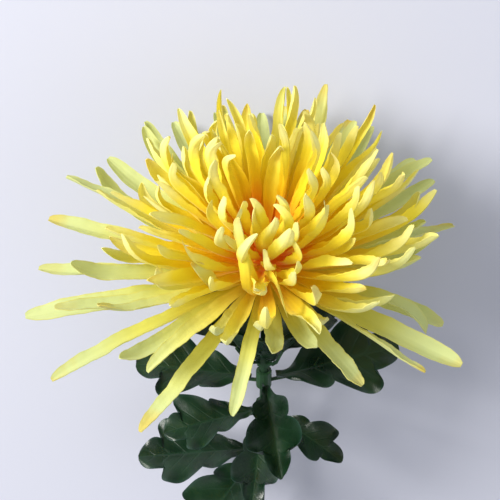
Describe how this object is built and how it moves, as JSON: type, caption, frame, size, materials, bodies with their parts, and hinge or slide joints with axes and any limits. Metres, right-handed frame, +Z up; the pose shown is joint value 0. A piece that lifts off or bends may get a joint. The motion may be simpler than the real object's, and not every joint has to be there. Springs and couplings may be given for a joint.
{
  "type": "artificial chrysanthemum stem",
  "caption": "Artificial spider chrysanthemum of layered yellow cloth petals on a leafy wired stem, lying as it rests on a table.",
  "frame": {"origin": "bottom centre of the bounding box of the flower as it lies on a table", "axes": "+Z up from the table, +Y along the flower from the cut stem end towards the bloom, +X to the right seen from above"},
  "size_m": [0.1652, 0.3212, 0.1245],
  "materials": {
    "petal_cloth": "matt polyester cloth, dyed from orange at the root to pale lemon at the tip",
    "leaf_cloth": "dark green cloth with a soft wax sheen",
    "green_plastic": "dark green polyethylene, satin",
    "stem": "dark green polyethylene over wire, satin",
    "white_plastic": "natural polyethylene, satin"
  },
  "bodies": {
    "root": {"petal_sheet_01": "petal_cloth", "petal_sheet_02": "petal_cloth", "petal_sheet_03": "petal_cloth", "petal_sheet_04": "petal_cloth", "petal_sheet_05": "petal_cloth", "petal_sheet_06": "petal_cloth", "petal_sheet_07": "petal_cloth", "petal_sheet_08": "petal_cloth", "petal_sheet_09": "petal_cloth", "petal_sheet_10": "petal_cloth", "petal_sheet_11": "petal_cloth", "petal_sheet_12": "petal_cloth", "spacer_01": "white_plastic", "spacer_02": "white_plastic", "spacer_03": "white_plastic", "spacer_04": "white_plastic", "spacer_05": "white_plastic", "spacer_06": "white_plastic", "spacer_07": "white_plastic", "spacer_08": "white_plastic", "spacer_09": "white_plastic", "spacer_10": "white_plastic", "spacer_11": "white_plastic", "petal_pin": "white_plastic", "calyx": "green_plastic", "stem": "stem", "leaf_01": "leaf_cloth", "leaf_02": "leaf_cloth", "leaf_03": "leaf_cloth", "leaf_04": "leaf_cloth", "leaf_05": "leaf_cloth", "leaf_06": "leaf_cloth", "leaf_07": "leaf_cloth", "leaf_08": "leaf_cloth", "leaf_09": "leaf_cloth", "leaf_10": "leaf_cloth", "leaf_11": "leaf_cloth", "leaf_12": "leaf_cloth", "leaf_13": "leaf_cloth", "leaf_14": "leaf_cloth", "leaf_collar_1": "green_plastic", "leaf_collar_2": "green_plastic", "leaf_collar_3": "green_plastic", "leaf_collar_4": "green_plastic"}
  },
  "joints": []
}
